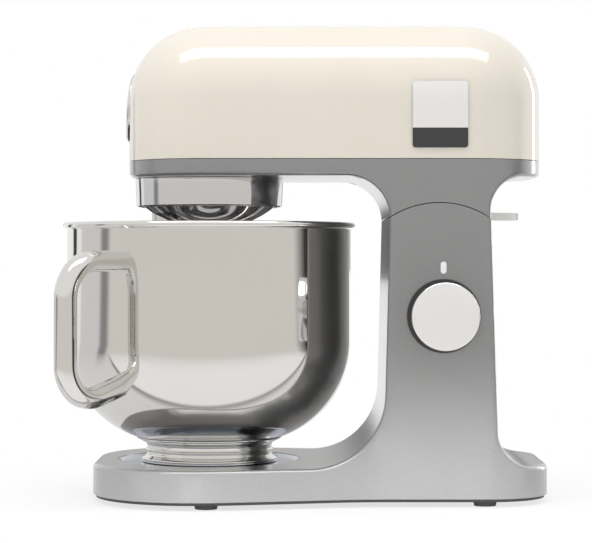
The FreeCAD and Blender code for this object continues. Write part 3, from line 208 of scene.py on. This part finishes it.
# Bowl foot.
# Turned steel ring welded under the bowl, waisted between two flared ends, with a bead round its
# waist.
foot_low, foot_wide, foot_waist, foot_inner = 0.0267, 0.0508, 0.0468, 0.0438
lip_top, waist_low, waist_top = foot_low + 0.0026, foot_low + 0.0052, foot_low + 0.0135
bead_low, bead_middle, bead_top = foot_low + 0.0078, foot_low + 0.0089, foot_low + 0.0100
bead_wide = foot_waist + 0.0011
flare_wide, flare_top, flare_edge, inner_end = 0.0545, 0.0447, 0.0006, 0.0430
bowl_foot = lathe("bowl_foot_polished", soften([
    (foot_inner, foot_low), (foot_wide, foot_low, 0.0006), (foot_wide, lip_top, 0.0009),
    (foot_waist, waist_low, 0.0016), (foot_waist, bead_low, 0.0006),
    (bead_wide, bead_middle, 0.0005), (foot_waist, bead_top, 0.0006),
    (foot_waist, waist_top, 0.0022), (flare_wide, flare_top - flare_edge, 0.0002),
    (flare_wide, flare_top), (foot_inner, inner_end),
], steps=6))
bowl_foot.data.materials.append(mirror_steel)
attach(bowl_foot, "bowl")
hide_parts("bowl_foot")

# Bowl handle.
# Loop of soft-cornered steel section, bent in two places and welded to the bowl wall at both ends.
grip_reach, arm_high, corner_low = 0.1515, 0.176, 0.072
upper_bend, lower_bend, bend_steps = 0.027, 0.024, 18
section_wide, section_deep, section_soft, section_steps = 0.016, 0.015, 0.0068, 10
lower_run, lower_length = Vector((-0.0579, 0, 0.0156)).normalized(), 0.034
weld_sink, lower_weld = 0.0006, Vector((0.0993, 0, 0.086))
handle_turn = math.radians(180 + 51)


def pick(kind, wanted):
    """Selects the edges or faces of the mesh in edit mode that a test wants, and nothing else."""
    mesh = bpy.context.object.data
    bpy.ops.mesh.select_all(action="DESELECT")
    bpy.ops.object.mode_set(mode="OBJECT")
    spots = [v.co for v in mesh.vertices]
    for part in getattr(mesh, kind):
        part.select = wanted([spots[i] for i in part.vertices])
    bpy.ops.object.mode_set(mode="EDIT")


bpy.ops.mesh.primitive_plane_add(
    size=1, location=(bowl_radius - weld_sink, 0, arm_high), rotation=(0, math.pi / 2, 0))
handle = bpy.context.object
handle.name = handle.data.name = "bowl_handle_polished"
handle.scale = (section_deep, section_wide, 1)
bpy.ops.object.transform_apply(location=True, rotation=True, scale=True)
bpy.ops.object.mode_set(mode="EDIT")
bpy.ops.mesh.select_all(action="SELECT")
bpy.ops.mesh.bevel(
    offset=section_soft, segments=section_steps, affect="VERTICES", clamp_overlap=False)
bpy.ops.mesh.select_all(action="SELECT")
bend_start = grip_reach - upper_bend
bpy.ops.mesh.extrude_region_move(
    TRANSFORM_OT_translate={"value": (bend_start - bowl_radius + weld_sink, 0, 0)})
bpy.ops.mesh.spin(
    steps=bend_steps, angle=math.pi / 2, center=(bend_start, 0, arm_high - upper_bend),
    axis=(0, -1, 0))
lower_turn = lower_run.angle(Vector((0, 0, -1)))
lower_reach = lower_bend * math.tan(lower_turn / 2)
bpy.ops.mesh.extrude_region_move(
    TRANSFORM_OT_translate={"value": (0, 0, corner_low + lower_reach - arm_high + upper_bend)})
bpy.ops.mesh.spin(
    steps=bend_steps, angle=lower_turn,
    center=(grip_reach - lower_bend, 0, corner_low + lower_reach), axis=(0, -1, 0))
bpy.ops.mesh.extrude_region_move(TRANSFORM_OT_translate={"value": lower_run * lower_length})
bpy.ops.mesh.select_all(action="SELECT")
bpy.ops.mesh.remove_doubles(threshold=merge_gap)
bend_middle = Vector((bowl_radius - bowl_bend, 0, bowl_low + bowl_bend))
inward = (bend_middle - lower_weld).normalized()
bpy.ops.mesh.select_mode(type="FACE")
pick("polygons", lambda spots: max(spot.z for spot in spots) < corner_low + lower_reach)
bpy.ops.mesh.bisect(
    plane_co=bend_middle - inward * (bowl_bend - weld_sink), plane_no=inward,
    clear_outer=True, use_fill=True)
bpy.ops.mesh.select_all(action="SELECT")
bpy.ops.mesh.normals_make_consistent(inside=False)
bpy.ops.object.mode_set(mode="OBJECT")
handle.rotation_euler = (0, 0, handle_turn)
keep_shape()
handle.data.materials.append(mirror_steel)
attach(handle, "bowl")
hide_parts("bowl_handle")

# Hub collar, planet hub and tool socket.
# The collar is a chromed ring fixed under the head; the domed hub turns in it and carries the
# socket that takes the beater's shank.
chrome = finish(
    "chrome", (0.66, 0.66, 0.67), (0.70, 0.70, 0.71),
    metal=1.0, rough=(0.02, 0.05), grain=240)
dress(chrome, "planet_hub", "tool_spindle")
collar_top, collar_low = 0.2373, 0.216
collar_wide, collar_draft, collar_inner = 0.0552, 0.001, 0.0512
collar = lathe("hub_collar_chrome", soften([
    (collar_inner, collar_top), (collar_inner, collar_low, 0.0008),
    (collar_wide - collar_draft, collar_low, 0.0014), (collar_wide, collar_top, 0.0005),
], steps=5))
collar.data.materials.append(chrome)
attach(collar, "head")
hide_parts("hub_collar")

# Head cover.
# Deep drawn aluminium shell with large soft edges in a gloss cream paint, open below where it sits
# on the chassis, and cut at its front end for the outlet.
cover_front, cover_rear, cover_half = -0.0582, 0.2445, 0.078
cover_low, cover_top = 0.2495, 0.349
corner_round, top_round, round_steps, shell = 0.060, 0.055, 24, 0.003
upright_least, level_gap = 0.05, 1e-5
bpy.ops.mesh.primitive_cube_add(
    size=1, location=((cover_front + cover_rear) / 2, 0, (cover_low + cover_top) / 2),
    scale=(cover_rear - cover_front, 2 * cover_half, cover_top - cover_low))
cover = bpy.context.object
cover.name = cover.data.name = "head_cover_painted"
bpy.ops.object.transform_apply(location=True, rotation=True, scale=True)
bpy.ops.object.mode_set(mode="EDIT")
bpy.ops.mesh.select_mode(type="EDGE")
pick("edges", lambda ends: abs(ends[0].z - ends[1].z) > upright_least)
bpy.ops.mesh.bevel(
    offset=corner_round, segments=round_steps, affect="EDGES", clamp_overlap=False)
pick("edges", lambda ends: all(abs(end.z - cover_top) < level_gap for end in ends))
bpy.ops.mesh.bevel(offset=top_round, segments=round_steps, affect="EDGES", clamp_overlap=False)
bpy.ops.mesh.select_mode(type="FACE")
pick("polygons", lambda ends: all(abs(end.z - cover_low) < level_gap for end in ends))
bpy.ops.mesh.delete(type="FACE")
bpy.ops.object.mode_set(mode="OBJECT")
wall = cover.modifiers.new("wall", "SOLIDIFY")
wall.thickness = shell
wall.offset = -1
bpy.ops.object.modifier_apply(modifier=wall.name)
keep_shape(angle=40)

outlet_foot = (cover_front, 0, 0.290)
outlet_facing = (0, math.radians(-90 + 4.5), 0)
outlet_radius, outlet_play, outlet_turns, drill_half = 0.0235, 0.0001, 96, 0.02
hole = lathe("outlet_hole", [Vector(spot) for spot in (
    (0, -drill_half), (outlet_radius + outlet_play, -drill_half),
    (outlet_radius + outlet_play, drill_half), (0, drill_half),
)], closed=False, turns=outlet_turns, foot=outlet_foot, facing=outlet_facing)
bpy.context.view_layer.objects.active = cover
opening = cover.modifiers.new("outlet_opening", "BOOLEAN")
opening.object = hole
opening.operation = "DIFFERENCE"
opening.solver = "EXACT"
bpy.ops.object.modifier_apply(modifier=opening.name)
bpy.data.objects.remove(hole)
cream = finish(
    "cream_paint", (0.70, 0.645, 0.56), (0.73, 0.675, 0.59),
    metal=0.0, rough=(0.50, 0.58), grain=1800, depth=0.00001, coat=1.0, coat_rough=0.03)
cover.data.materials.append(cream)
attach(cover, "head")
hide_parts("head_cover")

# Outlet ring and cover.
# Chromed ring pressed into the front end round the attachment outlet, and the satin metal cover
# that is pushed into it.
proud, outlet_inner, outlet_deep = 0.0014, 0.0195, 0.009
flange, flange_back, flange_front = 0.0256, -0.0034, 0.0005
crown_inset, crown_rise, inner_drop = 0.0014, 0.0009, 0.0006
ring = lathe("outlet_ring_chrome", soften([
    (outlet_inner, -outlet_deep), (outlet_radius, -outlet_deep), (outlet_radius, flange_back),
    (flange, flange_back), (flange, flange_front, 0.0008),
    (outlet_inner + crown_inset, proud + crown_rise, 0.0010),
    (outlet_inner, proud - inner_drop, 0.0003),
], steps=6), turns=outlet_turns, foot=outlet_foot, facing=outlet_facing)
ring.data.materials.append(chrome)
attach(ring, "head")
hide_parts("outlet_ring")
cap_edge, cap_back, cap_side = outlet_inner - 0.00015, 0.0003 - outlet_deep, 0.0002
cap_face, face_edge, face_middle = outlet_inner - 0.0014, proud - 0.0004, proud + 0.0006
cap = lathe("outlet_cover_satin", soften([
    (0, cap_back), (cap_edge, cap_back), (cap_edge, cap_side, 0.0003),
    (cap_face, face_edge, 0.0006), (0, face_middle),
], steps=4), closed=False, turns=outlet_turns, foot=outlet_foot, facing=outlet_facing)
satin = finish(
    "satin_metal", (0.80, 0.79, 0.78), (0.86, 0.85, 0.84),
    metal=0.6, rough=(0.28, 0.38), grain=700, depth=0.00001)
cap.data.materials.append(satin)
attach(cap, "outlet_cover")
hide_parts("outlet_cover")

# Speed knob, the dark ring behind it, and the indicator lens.
# Chromed knob with a satin face on a stem into the column; the moulded ring fills the shadow gap,
# and the white moulded lens sits in the column above it.
knob_foot, knob_facing = (0.1705, -0.078, 0.1367), (math.pi / 2, 0, 0)
knob_radius, knob_draft, knob_back, knob_front = 0.0243, 0.0003, 0.0018, 0.022
stem_radius, stem_end, face_skin = 0.003, -0.010, 0.0002
knob = lathe("speed_knob_chrome", soften([
    (0, stem_end), (stem_radius, stem_end), (stem_radius, knob_back),
    (knob_radius - knob_draft, knob_back, 0.0004), (knob_radius, knob_front, 0.0013),
    (0, knob_front),
], steps=6), closed=False, turns=96, foot=knob_foot, facing=knob_facing)
knob.data.materials.append(chrome)
knob.data.materials.append(satin)
face_level = knob_foot[1] - knob_front + face_skin
for panel in knob.data.polygons:
    if panel.center.y < face_level:
        panel.material_index = 1
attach(knob, "knob")
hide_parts("speed_knob")
dark_plastic = finish(
    "dark_plastic", (0.025, 0.025, 0.026), (0.04, 0.04, 0.042),
    metal=0.0, rough=(0.35, 0.5), grain=1200, depth=0.00005)
dress(dark_plastic, "knob_ring", "speed_control", "brush_holders")
lens_white = finish(
    "lens_white", (0.86, 0.86, 0.86), (0.9, 0.9, 0.9),
    metal=0.0, rough=(0.12, 0.2), grain=500)
dress(lens_white, "indicator_lens")

# Release lever.
# Flat satin metal paddle on a pin in the neck; lifting it frees the head.
dress(satin, "release_lever")

# Badge plate.
# Thin bare plate bonded to the knob side of the cover, satin above and black below, with a black
# edge.
badge_low, badge_high, badge_left, badge_right = 0.257, 0.3045, 0.1481, 0.1877
band_top, badge_thick, badge_corner, corner_steps = 0.2712, 0.0011, 0.0022, 5
badge_start, badge_strips, edge_facing = -0.09, 16, 0.5
bpy.ops.mesh.primitive_plane_add(
    size=1, location=((badge_left + badge_right) / 2, badge_start, (badge_low + badge_high) / 2),
    rotation=(math.pi / 2, 0, 0))
badge = bpy.context.object
badge.name = badge.data.name = "badge_plate"
badge.scale = (badge_right - badge_left, badge_high - badge_low, 1)
bpy.ops.object.transform_apply(location=True, rotation=True, scale=True)
bpy.ops.object.mode_set(mode="EDIT")
bpy.ops.mesh.select_mode(type="VERT")
bpy.ops.mesh.select_all(action="SELECT")
bpy.ops.mesh.bevel(offset=badge_corner, segments=corner_steps, affect="VERTICES")
strip_levels = [
    badge_low + (badge_high - badge_low) * i / badge_strips for i in range(1, badge_strips)]
for level in (*strip_levels, band_top):
    bpy.ops.mesh.select_all(action="SELECT")
    bpy.ops.mesh.bisect(plane_co=(0, 0, level), plane_no=(0, 0, 1))
bpy.ops.object.mode_set(mode="OBJECT")
lay = badge.modifiers.new("lay_on_cover", "SHRINKWRAP")
lay.target = cover
lay.wrap_method = "PROJECT"
lay.use_project_y = True
lay.use_positive_direction = True
lay.use_negative_direction = False
bpy.ops.object.modifier_apply(modifier=lay.name)
thick = badge.modifiers.new("sheet", "SOLIDIFY")
thick.thickness = badge_thick
thick.offset = 1
bpy.ops.object.modifier_apply(modifier=thick.name)
keep_shape(angle=30)
badge.data.materials.append(satin)
badge.data.materials.append(dark_plastic)
for panel in badge.data.polygons:
    if panel.center.z < band_top or abs(panel.normal.y) < edge_facing:
        panel.material_index = 1
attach(badge, "head")

# Drive, motor, hinge and control board inside the castings.
# Cast brackets, bronze bushes, steel shafts, moulded gears and copper windings, fixed to the
# chassis and column and mostly hidden by them.
cast_metal = finish(
    "cast_metal", (0.40, 0.40, 0.40), (0.46, 0.46, 0.46),
    metal=0.9, rough=(0.45, 0.6), grain=900, depth=0.0001)
dress(cast_metal, "hinge_arms", "gear_plate", "motor_bracket_lower", "motor_bracket_upper")
bronze = finish(
    "bronze", (0.36, 0.22, 0.09), (0.42, 0.26, 0.11),
    metal=1.0, rough=(0.3, 0.4), grain=600)
dress(bronze, "hinge_bush_left", "hinge_bush_right", "idler_bushes")
bright_steel = finish(
    "bright_steel", (0.45, 0.45, 0.46), (0.52, 0.52, 0.53),
    metal=1.0, rough=(0.2, 0.3), grain=700)
dress(bright_steel, "hinge_pin", "lever_pin", "hub_shaft", "planet_pinion", "idler_shaft",
      "idler_pinion", "motor_shaft", "motor_pinion", "hub_bearings", "motor_bearings")
gear_plastic = finish(
    "gear_plastic", (0.70, 0.67, 0.60), (0.76, 0.73, 0.66),
    metal=0.0, rough=(0.4, 0.5), grain=900, depth=0.00005)
dress(gear_plastic, "idler_gear", "output_gear", "ring_gear", "motor_fan")
core_sheet = finish(
    "core_sheet", (0.05, 0.05, 0.055), (0.08, 0.08, 0.085),
    metal=0.8, rough=(0.4, 0.55), grain=1500, depth=0.0001)
dress(core_sheet, "motor_core", "armature")
copper = finish(
    "copper", (0.42, 0.15, 0.06), (0.5, 0.2, 0.08),
    metal=1.0, rough=(0.25, 0.4), grain=1800, depth=0.0001)
dress(copper, "field_coils", "commutator")
board_green = finish(
    "board_green", (0.01, 0.06, 0.025), (0.015, 0.08, 0.035),
    metal=0.0, rough=(0.3, 0.45), grain=1500)
dress(board_green, "control_board")

# Studio.
# White floor and backdrop, soft panels above and to the sides, and the camera in front of the knob
# side. Polished metal alone mirrors toned walls: beige in front, dark flags beside, white above.
beige, white = (0.78, 0.755, 0.715, 1), (1, 1, 1, 1)


def grey(tone):
    """Colour of a plain grey."""
    return tone, tone, tone, 1


def tone_ramp(nodes, first, last, between):
    """Colour ramp from a first to a last stop of place and colour, with grey stops between them."""
    ramp = add_node(nodes, "ValToRGB")
    stops = ramp.color_ramp.elements
    stops[0].position, stops[0].color = first
    stops[1].position, stops[1].color = last
    for spot, tone in between:
        stops.new(spot).color = grey(tone)
    return ramp


def room_tones(nodes, links, heading, far):
    """Colour of the studio walls in polished metal, from 0, straight in front, to 1, behind.

    heading is a node with the X and Y of a direction, far the tone straight behind the object."""
    left_start, left = 0.44, (
        (0.48, 0.30), (0.52, 0.30), (0.56, 0.75), (0.76, 0.75), (0.79, 1.0), (0.835, 1.0),
        (0.85, 0.06), (0.885, 0.06), (0.90, 1.0))
    right_start, right = 0.35, ((0.45, 0.05), (0.56, 0.05), (0.62, 1.0))
    back_wall, far_start, side_blend = (0.984, 1.0), 0.991, 0.4
    sweep = add_node(nodes, "MapRange", {"From Min": -1.0})
    links.new(heading.outputs["Y"], sweep.inputs["Value"])
    side = add_node(nodes, "MapRange", {"From Min": -side_blend, "From Max": side_blend})
    links.new(heading.outputs["X"], side.inputs["Value"])
    walls = add_node(nodes, "Mix", data_type="RGBA")
    links.new(side.outputs["Result"], walls.inputs["Factor"])
    for slot, start, tones in (("A", left_start, left), ("B", right_start, right)):
        wall_tone = tone_ramp(nodes, (start, beige), (far_start, grey(far)), (*tones, back_wall))
        links.new(sweep.outputs["Result"], wall_tone.inputs["Fac"])
        links.new(wall_tone.outputs["Color"], walls.inputs[slot])
    return walls.outputs["Result"]


floor_size, stage_middle = 40, Vector((0.07, 0, 0))
shadow_near, shadow_far, shadow_glow = 0.12, 0.45, 0.7
wall_near, wall_far, front_deep = 0.45, 0.9, 1.0
bpy.ops.mesh.primitive_plane_add(size=floor_size, location=stage_middle)
floor = bpy.context.object
floor.name = "floor"
bpy.ops.object.transform_apply(location=True, rotation=True, scale=True)
paper = bpy.data.materials.new("paper")
paper.use_nodes = True
nodes, links = paper.node_tree.nodes, paper.node_tree.links
matt = nodes["Principled BSDF"]
matt.inputs["Base Color"].default_value = grey(0.9)
matt.inputs["Roughness"].default_value = 0.9
matt.inputs["Specular IOR Level"].default_value = 0.1
place = add_node(nodes, "TexCoord")
middle = add_node(nodes, "Mapping", {"Location": -stage_middle})
links.new(place.outputs["Object"], middle.inputs["Vector"])
away = add_node(nodes, "VectorMath", operation="LENGTH")
links.new(middle.outputs["Vector"], away.inputs[0])

# The floor glows white to the camera, less so near the object, where it keeps the shadow.
fade = add_node(
    nodes, "MapRange", {"From Min": shadow_near, "From Max": shadow_far, "To Min": shadow_glow})
links.new(away.outputs["Value"], fade.inputs["Value"])
rays = add_node(nodes, "LightPath")
seen = add_node(nodes, "Math", operation="MAXIMUM")
links.new(rays.outputs["Is Camera Ray"], seen.inputs[0])
links.new(rays.outputs["Is Glossy Ray"], seen.inputs[1])
share = add_node(nodes, "Math", operation="MULTIPLY")
links.new(fade.outputs["Result"], share.inputs[0])
links.new(seen.outputs["Value"], share.inputs[1])
glow = add_node(nodes, "Emission", {"Color": white})

# Painted reflection: to glossy rays the floor glows in toned bands that polished metal mirrors, its
# front tones with a thin dark line near the object, and the walls' further out.
ahead = add_node(nodes, "SeparateXYZ")
links.new(place.outputs["Object"], ahead.inputs["Vector"])
depth = add_node(nodes, "MapRange", {"From Min": -front_deep, "From Max": 0.0})
links.new(ahead.outputs["Y"], depth.inputs["Value"])
mirrored_front_glow = tone_ramp(
    nodes, (0.45, beige), (0.905, grey(0.8)), ((0.76, 1.0), (0.882, 1.0), (0.889, 0.12)))
links.new(depth.outputs["Result"], mirrored_front_glow.inputs["Fac"])
bearing = add_node(nodes, "VectorMath", operation="NORMALIZE")
links.new(middle.outputs["Vector"], bearing.inputs[0])
bearing_parts = add_node(nodes, "SeparateXYZ")
links.new(bearing.outputs["Vector"], bearing_parts.inputs["Vector"])
wall_foot = add_node(nodes, "MapRange", {"From Min": wall_near, "From Max": wall_far})
links.new(away.outputs["Value"], wall_foot.inputs["Value"])
mirrored_floor_glow = add_node(nodes, "Mix", data_type="RGBA")
links.new(wall_foot.outputs["Result"], mirrored_floor_glow.inputs["Factor"])
links.new(mirrored_front_glow.outputs["Color"], mirrored_floor_glow.inputs["A"])
links.new(room_tones(nodes, links, bearing_parts, far=1.0), mirrored_floor_glow.inputs["B"])
polish_glow = add_node(nodes, "Emission")
links.new(mirrored_floor_glow.outputs["Result"], polish_glow.inputs["Color"])
shown = add_node(nodes, "MixShader")
links.new(rays.outputs["Is Glossy Ray"], shown.inputs["Fac"])
links.new(glow.outputs["Emission"], shown.inputs[1])
links.new(polish_glow.outputs["Emission"], shown.inputs[2])
blend = add_node(nodes, "MixShader")
links.new(share.outputs["Value"], blend.inputs["Fac"])
links.new(matt.outputs["BSDF"], blend.inputs[1])
links.new(shown.outputs["Shader"], blend.inputs[2])
links.new(blend.outputs["Shader"], nodes["Material Output"].inputs["Surface"])
floor.data.materials.append(paper)
bpy.ops.object.select_all(action="DESELECT")

# The room lights the object evenly, is white to the camera, and shows its walls in polished metal.
walls_top, white_start, upper_room = 0.04, 0.16, (0.94, 0.93, 0.92, 1)
world = bpy.data.worlds.new("studio")
bpy.context.scene.world = world
world.use_nodes = True
nodes, links = world.node_tree.nodes, world.node_tree.links
room = nodes["Background"]
room.inputs["Color"].default_value = grey(0.72)
room.inputs["Strength"].default_value = 1.0
backdrop = add_node(nodes, "Background", {"Color": white})
heading = add_node(nodes, "TexCoord")
heading_parts = add_node(nodes, "SeparateXYZ")
links.new(heading.outputs["Generated"], heading_parts.inputs["Vector"])
rise = add_node(nodes, "MapRange", {"From Min": walls_top, "From Max": white_start})
links.new(heading_parts.outputs["Z"], rise.inputs["Value"])
room_tone = add_node(nodes, "Mix", {"B": upper_room}, data_type="RGBA")
links.new(rise.outputs["Result"], room_tone.inputs["Factor"])
links.new(room_tones(nodes, links, heading_parts, far=0.06), room_tone.inputs["A"])
mirrored_walls = add_node(nodes, "Background")
links.new(room_tone.outputs["Result"], mirrored_walls.inputs["Color"])
rays = add_node(nodes, "LightPath")
polish = add_node(nodes, "MixShader")
links.new(rays.outputs["Is Glossy Ray"], polish.inputs["Fac"])
links.new(room.outputs["Background"], polish.inputs[1])
links.new(mirrored_walls.outputs["Background"], polish.inputs[2])
blend = add_node(nodes, "MixShader")
links.new(rays.outputs["Is Camera Ray"], blend.inputs["Fac"])
links.new(polish.outputs["Shader"], blend.inputs[1])
links.new(backdrop.outputs["Background"], blend.inputs[2])
links.new(blend.outputs["Shader"], nodes["World Output"].inputs["Surface"])


def panel_lamp(name, spot, aim, size, power, mirrored, spread=180):
    """Soft panel light at a spot, facing a point; mirrored ones show in polished metal."""
    bpy.ops.object.light_add(type="AREA", location=spot)
    lamp = bpy.context.object
    lamp.name = name
    lamp.data.shape = "RECTANGLE"
    lamp.data.size, lamp.data.size_y = size
    lamp.data.energy = power
    lamp.data.spread = math.radians(spread)
    lamp.visible_glossy = mirrored
    lamp.rotation_euler = (Vector(aim) - Vector(spot)).to_track_quat("-Z", "Y").to_euler()
    bpy.ops.object.select_all(action="DESELECT")


panel_lamp("top_panel", (0.09, -0.30, 1.3), aim=(0.09, 0, 0.2),
           size=(1.5, 0.36), power=8.4, mirrored=True)
panel_lamp("left_panel", (-1.2, -0.7, 0.45), aim=(0.05, 0, 0.12),
           size=(0.8, 0.8), power=2.6, mirrored=False)
panel_lamp("right_strip", (1.1, 0.75, 0.25), aim=(0.1, 0, 0.17),
           size=(0.14, 1.1), power=3.0, mirrored=True)
panel_lamp("low_panel", (0.05, -0.70, 0.02), aim=(0.07, 0, -0.03),
           size=(1.2, 0.05), power=1.3, mirrored=False, spread=26)

camera_spot, camera_dip = (0.0649, -1.6, 0.1781), 0.36
bpy.ops.object.camera_add(location=camera_spot, rotation=(math.radians(90 - camera_dip), 0, 0))
camera = bpy.context.object
camera.data.lens = 129.7
camera.data.sensor_width = 36
bpy.context.scene.camera = camera
bpy.context.scene.view_settings.view_transform = "Standard"
bpy.ops.object.select_all(action="DESELECT")

bpy.context.view_layer.update()
